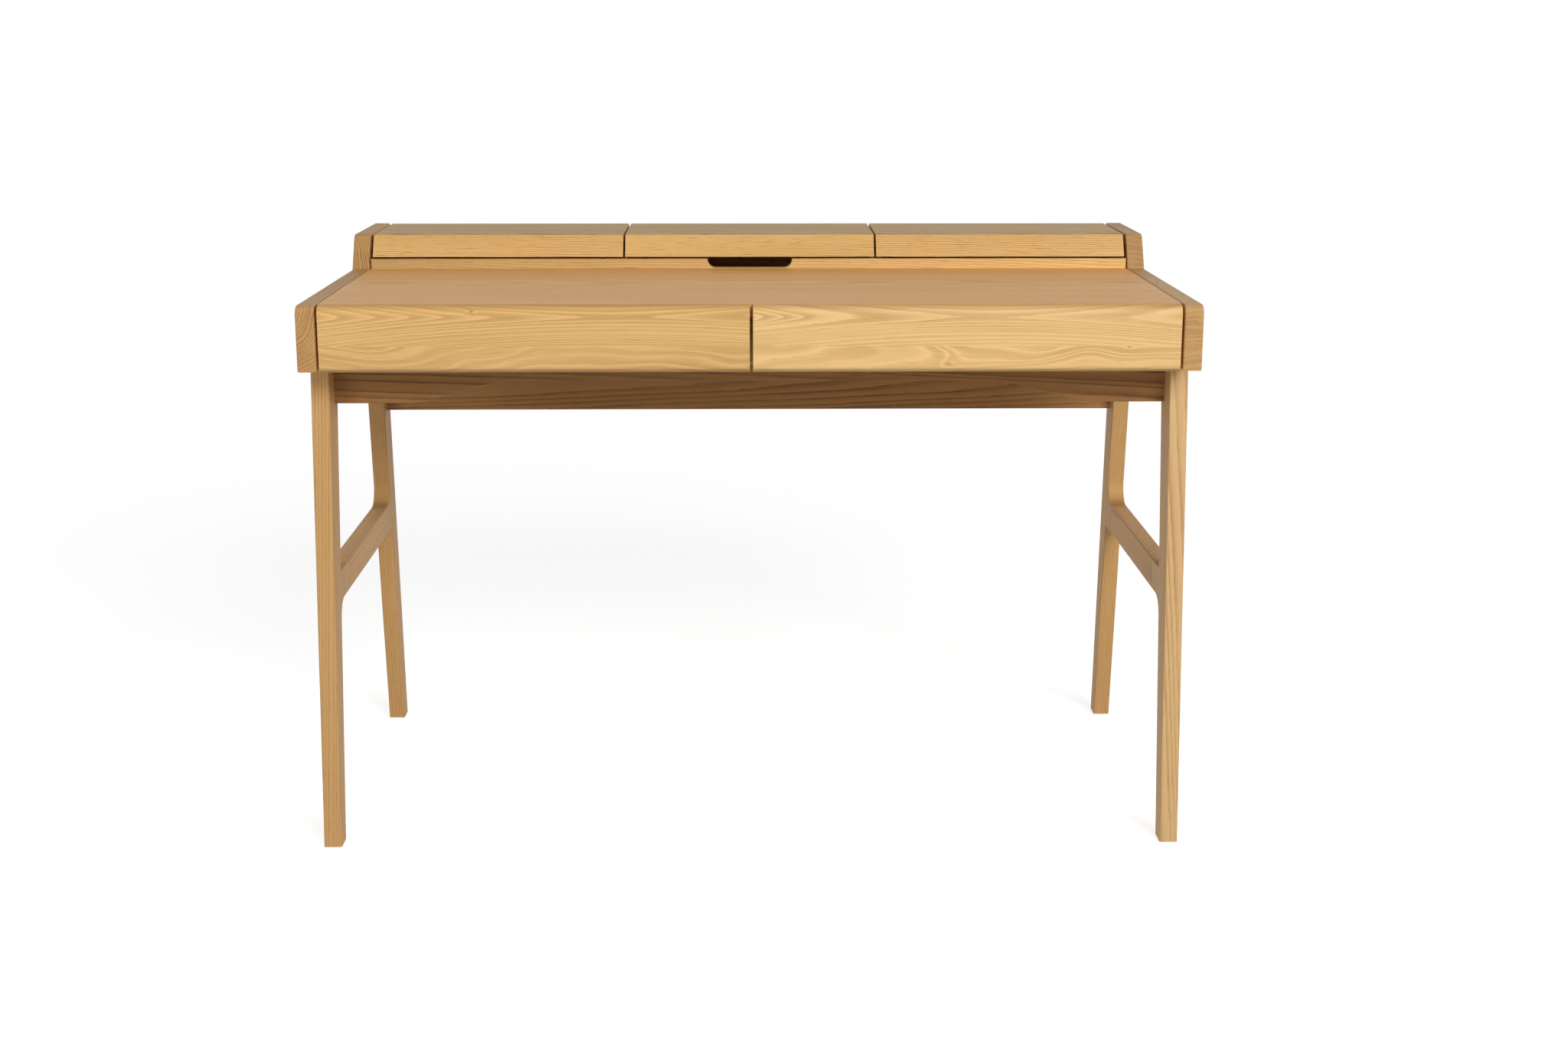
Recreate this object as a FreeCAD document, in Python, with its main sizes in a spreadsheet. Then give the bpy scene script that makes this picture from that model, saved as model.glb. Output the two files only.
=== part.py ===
import FreeCAD, Part
import os
from types import SimpleNamespace

import Sketcher

# Driving dimensions in millimetres, grouped by the piece that they belong to
sizes = {
    # Whole desk
    "width": 1200,
    "depth": 650,
    "surface_height": 765,
    "gallery_rise": 50,
    "carcass_height": 88,
    # Side panels
    "panel_thick": 25,
    "riser_setback": 434,
    "riser_lean": 30,
    "nose_radius": 13,
    "riser_top_radius": 10,
    "riser_foot_radius": 4,
    "panel_edge_radius": 2.5,
    # Boards of the carcass
    "desktop_thick": 18,
    "end_groove_width": 2,
    "end_groove_depth": 4,
    "bay_bottom_thick": 4,
    "bay_bottom_setback": 60,
    "centre_divider_thick": 16,
    "gallery_floor_thick": 9,
    "gallery_divider_thick": 12,
    "back_thick": 12,
    "back_inset": 6,
    # Gallery front board and its cable notch
    "gallery_board_thick": 15,
    "gallery_board_inset": 9.8,
    "gallery_board_rise": 14.5,
    "gallery_board_edge_radius": 0.8,
    "notch_width": 128,
    "notch_depth": 13.5,
    "notch_straight": 1,
    # Drawer fronts
    "front_thick": 20,
    "front_seam": 0.4,
    "front_side_gap": 3.5,
    "front_middle_gap": 4,
    "front_top_radius": 12,
    "front_bottom_radius": 9,
    "front_end_radius": 1,
    "front_drop": 1.5,
    # Drawer boxes
    "box_side_thick": 12,
    "box_head_gap": 11,
    "box_rear_gap": 23.8,
    "box_lift": 11,
    "box_bottom_thick": 5,
    "box_bottom_lift": 6,
    "groove_depth": 6,
    "groove_play": 0.15,
    # Drawer slides
    "slide_space": 12.5,
    "slide_start": 2,
    "slide_rear_gap": 8,
    "slide_height": 35,
    "slide_wall": 1.5,
    "slide_fixed_gap": 2,
    "slide_moving_gap": 1,
    "slide_play": 0.4,
    # Lids
    "lid_thick": 18,
    "lid_gap": 3,
    "lid_panel_gap": 4.5,
    "lid_lip_thick": 12,
    "lid_edge_radius": 3.5,
    "lid_inner_radius": 3,
    "lid_end_radius": 1,
    "bumper_height": 3,
    "bumper_radius": 3,
    "bumper_inset": 30,
    # Lid hinges
    "hinge_length": 40,
    "hinge_inset": 60,
    "leaf_thick": 1.2,
    "leaf_play": 0.4,
    "knuckle_radius": 2.6,
    "knuckle_play": 0.3,
    "knuckle_gap": 0.4,
    "pin_radius": 1.4,
    "pin_play": 0.05,
    # Legs
    "leg_thick": 25,
    "leg_top_inset": 86,
    "leg_foot_inset": 20,
    "leg_top_depth": 63,
    "leg_foot_depth": 33,
    "leg_edge_radius": 2,
    "glide_radius": 9,
    "glide_thick": 2,
    # Stretchers and the stubs of the legs that they meet
    "stretcher_height": 337,
    "stretcher_depth": 43,
    "stretcher_corner_radius": 28,
    "stretcher_small_radius": 3,
    "stub_length": 45,
    # Aprons
    "front_apron_thick": 20,
    "front_apron_height": 62,
    "arch_margin": 114,
    "arch_run": 115,
    "arch_rise": 31,
    "arch_radius": 120,
    "rear_apron_thick": 18,
    "rear_apron_height": 147,
    "apron_edge_radius": 1,
    # Screws
    "screw_radius": 1.5,
    "screw_head_radius": 2.75,
    "screw_play": 0.05,
    "hinge_screw_length": 12,
    "slide_screw_length": 7,
    "front_screw_head_depth": 2,
    "front_screw_length": 26,
    # Dowels
    "dowel_radius": 4,
    "dowel_half_length": 15,
    "leg_dowel_half_length": 20,
    "dowel_play": 0.05,
    # How far a cutting shape runs past what it cuts
    "overrun": 1,
}

# Places of repeated pieces, as shares of the length that carries them
desktop_dowel_shares = (0.12, 0.38, 0.64, 0.9)
upright_dowel_shares = (0.25, 0.75)
leg_dowel_shares = (0.3, 0.7)
apron_dowel_shares = (0.18, 0.5)
front_apron_share = 0.68
stretcher_dowel_shares = (0.27, 0.73)
slide_screw_shares = (0.12, 0.88)
front_screw_width_shares = (0.12, 0.88)
front_screw_height_shares = (0.35, 0.8)
hinge_screw_shares = (-0.3, 0.3)
middle_knuckle_share = 0.4

# How closely an edge has to lie on a named place to be picked there
near = 1e-3

sides = {"left": -1, "right": 1}
ends = {"front": 1, "rear": -1}

doc = FreeCAD.newDocument("writing_desk")
sheet = doc.addObject("Spreadsheet::Sheet", "Sizes")
for row, (name, value) in enumerate(sizes.items(), start=1):
    sheet.set(f"A{row}", name)
    sheet.set(f"B{row}", str(value))
    sheet.setAlias(f"B{row}", name)
doc.recompute()


class Size:
    # A length, both as an expression on the sheet and as its value now
    def __init__(self, text, value):
        self.text = text
        self.value = float(value)

    def __add__(self, other):
        return Size(f"({self.text} + {sized(other).text})", self.value + sized(other).value)

    def __sub__(self, other):
        return Size(f"({self.text} - {sized(other).text})", self.value - sized(other).value)

    def __mul__(self, other):
        return Size(f"({self.text} * {sized(other).text})", self.value * sized(other).value)

    def __truediv__(self, other):
        return Size(f"({self.text} / {sized(other).text})", self.value / sized(other).value)

    def __neg__(self):
        return Size(f"(0 - {self.text})", -self.value)


def sized(number):
    return number if isinstance(number, Size) else Size(f"({number})", number)


s = SimpleNamespace(**{name: Size(f"Sizes.{name}", sheet.get(name)) for name in sizes})
zero = sized(0)

blanks = {}
holes = {}
groups = {}


def bind(thing, bindings):
    for path, size in bindings.items():
        thing.setExpression(path, size.text)
    return thing


def placed(thing, x, y, z):
    return bind(thing, {"Placement.Base.x": x, "Placement.Base.y": y, "Placement.Base.z": z})


def board(label, x, y, z):
    # A plain board between a low and a high place along each axis
    box = doc.addObject("Part::Box", label)
    bind(box, {"Length": x[1] - x[0], "Width": y[1] - y[0], "Height": z[1] - z[0]})
    return placed(box, x[0], y[0], z[0])


def cut(label, base, tool):
    result = doc.addObject("Part::Cut", label)
    result.Base = base
    result.Tool = tool
    return result


def fused(label, shapes):
    result = doc.addObject("Part::MultiFuse", label)
    result.Shapes = shapes
    return result


def grouped(label, shapes):
    result = doc.addObject("Part::Compound", label)
    result.Links = shapes
    return result


def span(side, near_centre, far_out):
    # A stretch of X on the desk's left or right half
    return (near_centre, far_out) if side > 0 else (-far_out, -near_centre)


def stretch(start, way, reach_low, reach_high):
    # A stretch that begins at a face and runs along one way of an axis
    low = start + reach_low * way
    high = start + reach_high * way
    return (low, high) if way > 0 else (high, low)


ways = {
    "+x": FreeCAD.Vector(1, 0, 0),
    "-x": FreeCAD.Vector(-1, 0, 0),
    "+y": FreeCAD.Vector(0, 1, 0),
    "-y": FreeCAD.Vector(0, -1, 0),
    "+z": FreeCAD.Vector(0, 0, 1),
    "-z": FreeCAD.Vector(0, 0, -1),
}


def turned(thing, start, way):
    # Stands a round shape at a start point, with its axis along one way
    rotation = FreeCAD.Rotation(FreeCAD.Vector(0, 0, 1), ways[way])
    thing.Placement = FreeCAD.Placement(FreeCAD.Vector(), rotation)
    return placed(thing, *start)


def moved(start, way, distance):
    # The point that lies a distance further along one way
    return [place + distance * int(step) for place, step in zip(start, ways[way])]


def rod(label, start, way, radius, length):
    thing = doc.addObject("Part::Cylinder", label)
    bind(thing, {"Radius": radius, "Height": length})
    return turned(thing, start, way)


def cone(label, start, way, radius, end_radius, length):
    thing = doc.addObject("Part::Cone", label)
    bind(thing, {"Radius1": radius, "Radius2": end_radius, "Height": length})
    return turned(thing, start, way)


def drill(tool, labels):
    for label in labels:
        holes.setdefault(label, []).append(tool)


def join_group(label, thing):
    groups.setdefault(label, []).append(thing)


def dowel(group, middle, way, half_length, through):
    # A dowel centred on a joint, with its hole in both pieces
    name = f"{group}_{len(groups.get(group, [])) + 1}"
    start = moved(middle, way, -half_length)
    join_group(group, rod(name, start, way, s.dowel_radius, half_length * 2))
    reach = half_length + s.dowel_play
    hole_start = moved(middle, way, -reach)
    drill(rod(f"{name}_hole", hole_start, way, s.dowel_radius + s.dowel_play, reach * 2), through)


def screw_form(name, start, way, head_depth, length, play):
    # A countersunk head at the start point and the shank behind it
    head = cone(f"{name}_head", start, way, s.screw_head_radius + play, s.screw_radius + play, head_depth)
    shank_start = moved(start, way, head_depth)
    shank = rod(f"{name}_shank", shank_start, way, s.screw_radius + play, length - head_depth + play)
    return fused(name, [head, shank])


def screw(group, start, way, head_depth, length, through):
    name = f"{group}_{len(groups.get(group, [])) + 1}"
    join_group(group, screw_form(name, start, way, head_depth, length, zero))
    drill(screw_form(f"{name}_hole", start, way, head_depth, length, s.screw_play), through)


def outline_body(label, plane, points, thickness):
    # A board sawn to an outline: its corners are bound, and its thickness is the pad
    body = doc.addObject("PartDesign::Body", label)
    sketch = body.newObject("Sketcher::SketchObject", f"{label}_outline")
    flat = next(feature for feature in body.Origin.OriginFeatures if feature.Role == plane)
    sketch.AttachmentSupport = [(flat, "")]
    sketch.MapMode = "FlatFace"
    corners = [FreeCAD.Vector(across.value, up.value, 0) for across, up in points]
    for start, end in zip(corners, corners[1:] + corners[:1]):
        sketch.addGeometry(Part.LineSegment(start, end))
    for index in range(len(points)):
        following = (index + 1) % len(points)
        sketch.addConstraint(Sketcher.Constraint("Coincident", index, 2, following, 1))
    for index, (across, up) in enumerate(points):
        for kind, size in (("DistanceX", across), ("DistanceY", up)):
            number = sketch.addConstraint(Sketcher.Constraint(kind, -1, 1, index, 1, size.value))
            sketch.setExpression(f"Constraints[{number}]", size.text)
    pad = body.newObject("PartDesign::Pad", f"{label}_pad")
    pad.Profile = sketch
    pad.Reversed = plane == "XZ_Plane"
    bind(pad, {"Length": thickness})
    body.Tip = pad
    doc.recompute()
    return body


def edges_on(body, **places):
    # Names of the edges that lie wholly on every given place, in the body's own frame
    names = []
    for index, edge in enumerate(body.Tip.Shape.Edges, start=1):
        box = edge.BoundBox
        spots = []
        for axis, place in places.items():
            spots += [getattr(box, axis + end) - place.value for end in ("Min", "Max")]
        if all(abs(spot) < near for spot in spots):
            names.append(f"Edge{index}")
    return names


def rounded(body, edges, radius):
    base = body.Tip
    fillet = body.newObject("PartDesign::Fillet", f"{body.Name}_round")
    fillet.Base = (base, edges)
    bind(fillet, {"Radius": radius})
    body.Tip = fillet
    doc.recompute()


# Main places: half widths along X, depths along Y from the front to the rear, heights along Z
half = s.width / 2
inner = half - s.panel_thick
front = -(s.depth / 2)
rear = s.depth / 2
surface = s.surface_height
top = surface + s.gallery_rise
underside = surface - s.carcass_height
desk_under = surface - s.desktop_thick
riser_foot = front + s.riser_setback
riser_top = riser_foot + s.riser_lean
gallery_face = riser_foot + s.gallery_board_inset
gallery_inside = gallery_face + s.gallery_board_thick
gallery_top = surface + s.gallery_board_rise
back_rear = rear - s.back_inset
back_inside = back_rear - s.back_thick
lid_under = top - s.lid_thick
back_top = lid_under - s.leaf_thick * 2 - s.leaf_play
full_width = (-inner, inner)


# Side panels: nose, flat top, leaning riser and gallery top in one board
panel_outline = [
    (front, underside),
    (rear, underside),
    (rear, top),
    (riser_top, top),
    (riser_foot, surface),
    (front, surface),
]
for side_name, side in sides.items():
    panel = outline_body(f"{side_name}_side_panel", "YZ_Plane", panel_outline, s.panel_thick)
    placed(panel, span(side, inner, half)[0], zero, zero)
    rounded(panel, edges_on(panel, Y=front, Z=surface), s.nose_radius)
    rounded(panel, edges_on(panel, Y=riser_top, Z=top), s.riser_top_radius)
    rounded(panel, edges_on(panel, Y=riser_foot, Z=surface), s.riser_foot_radius)
    rounded(panel, edges_on(panel, X=zero) + edges_on(panel, X=s.panel_thick), s.panel_edge_radius)
    blanks[panel.Name] = panel

# Boards between the side panels
desktop_depth = (front + s.front_thick + s.front_seam, gallery_face)
bay_depth = (front + s.bay_bottom_setback, gallery_face)
bay_floor = underside + s.bay_bottom_thick
gallery_depth = (gallery_inside, back_inside)
gallery_floor_top = underside + s.gallery_floor_thick
divider_face = s.centre_divider_thick / 2
groove_floor = surface - s.end_groove_depth
groove_side = inner - s.end_groove_width
# A narrow groove parts the desktop's ends from the panels
desktop = outline_body(
    "desktop",
    "XZ_Plane",
    [
        (-inner, desk_under),
        (inner, desk_under),
        (inner, groove_floor),
        (groove_side, groove_floor),
        (groove_side, surface),
        (-groove_side, surface),
        (-groove_side, groove_floor),
        (-inner, groove_floor),
    ],
    desktop_depth[1] - desktop_depth[0],
)
placed(desktop, zero, desktop_depth[0], zero)
blanks["desktop"] = desktop
blanks["drawer_bay_bottom"] = board("drawer_bay_bottom", full_width, bay_depth, (underside, bay_floor))
blanks["centre_divider"] = board(
    "centre_divider", (-divider_face, divider_face), bay_depth, (bay_floor, desk_under)
)
blanks["gallery_floor"] = board("gallery_floor", full_width, gallery_depth, (underside, gallery_floor_top))
blanks["back_panel"] = board("back_panel", full_width, (back_inside, back_rear), (underside, back_top))

# Gallery front board: its top edge shows under the lids and has the cable notch
notch_half = s.notch_width / 2
notch_floor = gallery_top - s.notch_depth
gallery_board = outline_body(
    "gallery_front_board",
    "XZ_Plane",
    [
        (-inner, underside),
        (inner, underside),
        (inner, groove_floor),
        (groove_side, groove_floor),
        (groove_side, gallery_top),
        (notch_half, gallery_top),
        (notch_half, notch_floor),
        (-notch_half, notch_floor),
        (-notch_half, gallery_top),
        (-groove_side, gallery_top),
        (-groove_side, groove_floor),
        (-inner, groove_floor),
    ],
    s.gallery_board_thick,
)
placed(gallery_board, zero, gallery_face, zero)
for corner in (notch_half, -notch_half):
    rounded(gallery_board, edges_on(gallery_board, X=corner, Z=notch_floor), s.notch_depth - s.notch_straight)
face_edges = edges_on(gallery_board, Y=zero)
sunk_edges = edges_on(gallery_board, Y=zero, Z=underside) + edges_on(gallery_board, Y=zero, Z=groove_floor)
for end_of_board in (-inner, inner, -groove_side, groove_side):
    sunk_edges += edges_on(gallery_board, Y=zero, X=end_of_board)
shown_edges = [edge for edge in face_edges if edge not in sunk_edges]
rounded(gallery_board, shown_edges, s.gallery_board_edge_radius)
blanks["gallery_front_board"] = gallery_board

# Lids: three equal boards with a lip that leans like the panels' risers
lid_reach = inner - s.lid_panel_gap
lid_width = (lid_reach * 2 - s.lid_gap * 2) / 3
lid_pitch = lid_width + s.lid_gap
lip_bottom = gallery_top + s.bumper_height
lean_per_rise = s.riser_lean / s.gallery_rise


def riser_face(height):
    return riser_foot + lean_per_rise * (height - surface)


lid_outline = [
    (riser_face(lip_bottom), lip_bottom),
    (riser_face(lip_bottom) + s.lid_lip_thick, lip_bottom),
    (riser_face(lid_under) + s.lid_lip_thick, lid_under),
    (back_rear, lid_under),
    (back_rear, top),
    (riser_top, top),
]
lid_centres = {"left": -lid_pitch, "middle": zero, "right": lid_pitch}
for lid_name, centre in lid_centres.items():
    lid = outline_body(f"{lid_name}_lid", "YZ_Plane", lid_outline, lid_width)
    placed(lid, centre - lid_width / 2, zero, zero)
    rounded(lid, edges_on(lid, Y=riser_top, Z=top), s.lid_edge_radius)
    rounded(lid, edges_on(lid, Y=lid_outline[2][0], Z=lid_under), s.lid_inner_radius)
    rounded(lid, edges_on(lid, X=zero) + edges_on(lid, X=lid_width), s.lid_end_radius)
    blanks[lid.Name] = lid
    for way in sides.values():
        bumper_x = centre + (lid_width / 2 - s.bumper_inset) * way
        bumper_start = (bumper_x, gallery_face + s.lid_lip_thick / 2, gallery_top)
        bumper = rod(f"bumper_{lid_name}_{way + 1}", bumper_start, "+z", s.bumper_radius, s.bumper_height)
        join_group("lid_bumpers", bumper)

# Dividers of the gallery stand under the gaps between the lids
for side_name, side in sides.items():
    label = f"{side_name}_gallery_divider"
    centre = lid_pitch / 2 * side
    divider_width = (centre - s.gallery_divider_thick / 2, centre + s.gallery_divider_thick / 2)
    blanks[label] = board(label, divider_width, gallery_depth, (gallery_floor_top, gallery_top))

# Lid hinges: leaves in the gap between lid and back panel, knuckles behind the back panel
axis_y = back_rear + s.knuckle_gap + s.knuckle_radius
axis_z = lid_under - s.leaf_thick - s.leaf_play / 2
leaf_end = axis_y - s.knuckle_radius - s.knuckle_play
middle_half = s.hinge_length * middle_knuckle_share / 2
outer_start = middle_half + s.knuckle_play
hinge_half = s.hinge_length / 2


def hinge_leaf(name, centre, heights, knuckles):
    # A plate with rolled knuckles on the stretches given from the hinge's middle
    whole = (centre - hinge_half, centre + hinge_half)
    pieces = [board(f"{name}_plate", whole, (back_inside, leaf_end), heights)]
    for number, (low, high) in enumerate(knuckles):
        reach = (centre + low, centre + high)
        pieces.append(board(f"{name}_tongue_{number}", reach, (leaf_end, axis_y), heights))
        start = (reach[0], axis_y, axis_z)
        pieces.append(rod(f"{name}_knuckle_{number}", start, "+x", s.knuckle_radius, high - low))
    bore_start = (whole[0] - s.overrun, axis_y, axis_z)
    bore_length = s.hinge_length + s.overrun * 2
    bore = rod(f"{name}_bore", bore_start, "+x", s.pin_radius + s.pin_play, bore_length)
    return cut(f"{name}_bored", fused(f"{name}_rolled", pieces), bore)


def drilled(name, piece, group):
    # A piece of a group, less its own screw holes
    tools = holes.pop(name)
    join_group(group, cut(f"{name}_drilled", piece, grouped(f"{name}_screw_holes", tools)))


fixed_heights = (back_top, back_top + s.leaf_thick)
moving_heights = (lid_under - s.leaf_thick, lid_under)
leaf_screw_y = (back_inside + back_rear) / 2
for lid_name, lid_centre in lid_centres.items():
    for way in sides.values():
        centre = lid_centre + (lid_width / 2 - s.hinge_inset) * way
        hinge = f"{lid_name}_hinge_{way + 1}"
        fixed_knuckles = [(-hinge_half, -outer_start), (outer_start, hinge_half)]
        fixed_leaf = hinge_leaf(f"{hinge}_fixed", centre, fixed_heights, fixed_knuckles)
        moving_leaf = hinge_leaf(f"{hinge}_moving", centre, moving_heights, [(-middle_half, middle_half)])
        for share in hinge_screw_shares:
            screw_x = centre + s.hinge_length * share
            fixed_start = (screw_x, leaf_screw_y, fixed_heights[1])
            moving_start = (screw_x, leaf_screw_y, moving_heights[0])
            screw("hinge_screws_back_panel", fixed_start, "-z", s.leaf_thick, s.hinge_screw_length,
                  [f"{hinge}_fixed", "back_panel"])
            screw(f"{lid_name}_lid_hinge_screws", moving_start, "+z", s.leaf_thick, s.hinge_screw_length,
                  [f"{hinge}_moving", f"{lid_name}_lid"])
        drilled(f"{hinge}_fixed", fixed_leaf, "hinge_leaves_back_panel")
        drilled(f"{hinge}_moving", moving_leaf, f"{lid_name}_lid_hinge_leaves")
        pin_start = (centre - hinge_half, axis_y, axis_z)
        join_group("hinge_pins", rod(f"{hinge}_pin", pin_start, "+x", s.pin_radius, s.hinge_length))

# Drawers: a show front screwed to a grooved box that runs on two slides
front_rear = front + s.front_thick
box_depth = (front_rear, gallery_face - s.box_rear_gap)
box_heights = (underside + s.box_lift, desk_under - s.box_head_gap)
bottom_low = box_heights[0] + s.box_bottom_lift
bottom_heights = (bottom_low, bottom_low + s.box_bottom_thick)
groove_heights = (bottom_heights[0] - s.groove_play, bottom_heights[1] + s.groove_play)
inner_front_rear = front_rear + s.box_side_thick
front_low = underside - s.front_drop
front_outline = [(front, front_low), (front_rear, front_low), (front_rear, surface), (front, surface)]
front_width = inner - s.front_side_gap - s.front_middle_gap / 2
slide_start = bay_depth[0] + s.slide_start
slide_depth = (slide_start, box_depth[1] - s.slide_rear_gap)
slide_middle = (box_heights[0] + box_heights[1]) / 2


def channel(label, wall, way, reach, height, opens_away):
    # A steel channel along Y between two reaches from a wall, open away from it or towards it
    heights = (slide_middle - height / 2, slide_middle + height / 2)
    bar = board(f"{label}_bar", stretch(wall, way, reach[0], reach[1]), slide_depth, heights)
    hollow_heights = (heights[0] + s.slide_wall, heights[1] - s.slide_wall)
    hollow_depth = (slide_depth[0] - s.overrun, slide_depth[1] + s.overrun)
    hollow_reach = (reach[0] + s.slide_wall, reach[1] + s.overrun)
    if not opens_away:
        hollow_reach = (reach[0] - s.overrun, reach[1] - s.slide_wall)
    hollow = board(f"{label}_hollow", stretch(wall, way, *hollow_reach), hollow_depth, hollow_heights)
    return cut(f"{label}_channel", bar, hollow)


def slide(drawer, name, wall, way, carrier, box_side):
    # A fixed channel on the carcass and a smaller one nested in it on the box
    fixed = f"{drawer}_{name}_fixed_slide"
    moving = f"{drawer}_{name}_moving_slide"
    along = "+x" if way > 0 else "-x"
    back = "-x" if way > 0 else "+x"
    moving_height = s.slide_height - (s.slide_wall + s.slide_play) * 2
    moving_reach = (s.slide_wall + s.slide_moving_gap, s.slide_space)
    fixed_reach = (zero, s.slide_space - s.slide_wall - s.slide_fixed_gap)
    fixed_bar = channel(fixed, wall, way, fixed_reach, s.slide_height, True)
    moving_bar = channel(moving, wall, way, moving_reach, moving_height, False)
    fixed_web = wall + s.slide_wall * way
    moving_web = wall + (s.slide_space - s.slide_wall) * way
    for share in slide_screw_shares:
        screw_y = slide_depth[0] + (slide_depth[1] - slide_depth[0]) * share
        screw("slide_screws_carcass", (fixed_web, screw_y, slide_middle), back, s.slide_wall,
              s.slide_screw_length, [fixed, carrier])
        screw(f"{drawer}_slide_screws", (moving_web, screw_y, slide_middle), along, s.slide_wall,
              s.slide_screw_length, [moving, box_side])
    drilled(fixed, fixed_bar, f"{drawer}_fixed_slides")
    drilled(moving, moving_bar, f"{drawer}_moving_slides")


for side_name, side in sides.items():
    drawer = f"{side_name}_drawer"
    show_front = outline_body(f"{drawer}_front", "YZ_Plane", front_outline, front_width)
    placed(show_front, span(side, s.front_middle_gap / 2, inner - s.front_side_gap)[0], zero, zero)
    rounded(show_front, edges_on(show_front, Y=front, Z=surface), s.front_top_radius)
    rounded(show_front, edges_on(show_front, Y=front, Z=front_low), s.front_bottom_radius)
    end_edges = edges_on(show_front, X=zero) + edges_on(show_front, X=front_width)
    rounded(show_front, end_edges, s.front_end_radius)
    blanks[show_front.Name] = show_front

    box_width = span(side, divider_face + s.slide_space, inner - s.slide_space)
    inside = (box_width[0] + s.box_side_thick, box_width[1] - s.box_side_thick)
    groove_width = (inside[0] - s.groove_depth, inside[1] + s.groove_depth)
    groove_depth = (inner_front_rear - s.groove_depth, box_depth[1] + s.overrun)
    groove = board(f"{drawer}_groove", groove_width, groove_depth, groove_heights)
    box_pieces = {
        f"{drawer}_left_side": ((box_width[0], inside[0]), box_depth),
        f"{drawer}_right_side": ((inside[1], box_width[1]), box_depth),
        f"{drawer}_inner_front": (inside, (front_rear, inner_front_rear)),
    }
    for label, (across, along) in box_pieces.items():
        blanks[label] = board(label, across, along, box_heights)
        drill(groove, [label])
    bottom_width = (groove_width[0] + s.groove_play, groove_width[1] - s.groove_play)
    bottom_depth = (groove_depth[0] + s.groove_play, box_depth[1])
    blanks[f"{drawer}_bottom"] = board(f"{drawer}_bottom", bottom_width, bottom_depth, bottom_heights)
    back_depth = (box_depth[1] - s.box_side_thick, box_depth[1])
    back_heights = (bottom_heights[1], box_heights[1])
    blanks[f"{drawer}_back"] = board(f"{drawer}_back", inside, back_depth, back_heights)

    for width_share in front_screw_width_shares:
        for height_share in front_screw_height_shares:
            screw_x = inside[0] + (inside[1] - inside[0]) * width_share
            screw_z = bottom_heights[1] + (box_heights[1] - bottom_heights[1]) * height_share
            screw_start = (screw_x, inner_front_rear, screw_z)
            screw(f"{drawer}_front_screws", screw_start, "-y", s.front_screw_head_depth,
                  s.front_screw_length, [f"{drawer}_inner_front", f"{drawer}_front"])
    outer_side, inner_side = (f"{drawer}_left_side", f"{drawer}_right_side")[::-side]
    slide(drawer, "outer", inner * side, -side, f"{side_name}_side_panel", outer_side)
    slide(drawer, "inner", divider_face * side, side, "centre_divider", inner_side)

# Legs: tapered in side view, with a stub that the stretcher meets; the rear pair mirrors the front pair
leg_inner = half - s.leg_thick
leg_top_edge = front + s.leg_top_inset
leg_foot_edge = front + s.leg_foot_inset
leg_top_back = leg_top_edge + s.leg_top_depth
leg_foot_back = leg_foot_edge + s.leg_foot_depth
stretcher_low = s.stretcher_height
stretcher_high = s.stretcher_height + s.stretcher_depth


def leg_back(height):
    # The leg's edge that faces the middle of the desk, at a height
    rise_share = (height - s.glide_thick) / (underside - s.glide_thick)
    return leg_foot_back + (leg_top_back - leg_foot_back) * rise_share


stub_end = leg_back(stretcher_high) + s.stub_length
leg_outline = [
    (leg_foot_edge, s.glide_thick),
    (leg_foot_back, s.glide_thick),
    (leg_back(stretcher_low), stretcher_low),
    (stub_end, stretcher_low),
    (stub_end, stretcher_high),
    (leg_back(stretcher_high), stretcher_high),
    (leg_top_back, underside),
    (leg_top_edge, underside),
]
low_corner, high_corner = leg_outline[2], leg_outline[5]
for end_name, end in ends.items():
    outline = [(y * end, z) for y, z in leg_outline]
    # The large round is under the stretcher on a front leg and above it on a rear leg
    large, small = (low_corner, high_corner)[::end]
    for side_name, side in sides.items():
        leg = outline_body(f"{side_name}_{end_name}_leg", "YZ_Plane", outline, s.leg_thick)
        placed(leg, span(side, leg_inner, half)[0], zero, zero)
        rounded(leg, edges_on(leg, Y=large[0] * end, Z=large[1]), s.stretcher_corner_radius)
        rounded(leg, edges_on(leg, Y=small[0] * end, Z=small[1]), s.stretcher_small_radius)
        outline_edges = edges_on(leg, X=zero) + edges_on(leg, X=s.leg_thick)
        joint_edges = edges_on(leg, Z=underside) + edges_on(leg, Z=s.glide_thick)
        joint_edges += edges_on(leg, Y=stub_end * end)
        rounded(leg, [edge for edge in outline_edges if edge not in joint_edges], s.leg_edge_radius)
        blanks[leg.Name] = leg

        leg_middle = (half - s.leg_thick / 2) * side
        foot_middle = (leg_foot_edge + s.leg_foot_depth / 2) * end
        glide = rod(f"{leg.Name}_glide", (leg_middle, foot_middle, zero), "+z", s.glide_radius, s.glide_thick)
        join_group("foot_glides", glide)
        for share in leg_dowel_shares:
            dowel_y = (leg_top_edge + s.leg_top_depth * share) * end
            dowel("leg_dowels", (leg_middle, dowel_y, underside), "+z", s.leg_dowel_half_length,
                  [leg.Name, f"{side_name}_side_panel"])
        for share in stretcher_dowel_shares:
            dowel_z = stretcher_low + s.stretcher_depth * share
            dowel("stretcher_dowels", (leg_middle, stub_end * end, dowel_z), "+y", s.dowel_half_length,
                  [leg.Name, f"{side_name}_stretcher"])

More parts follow.
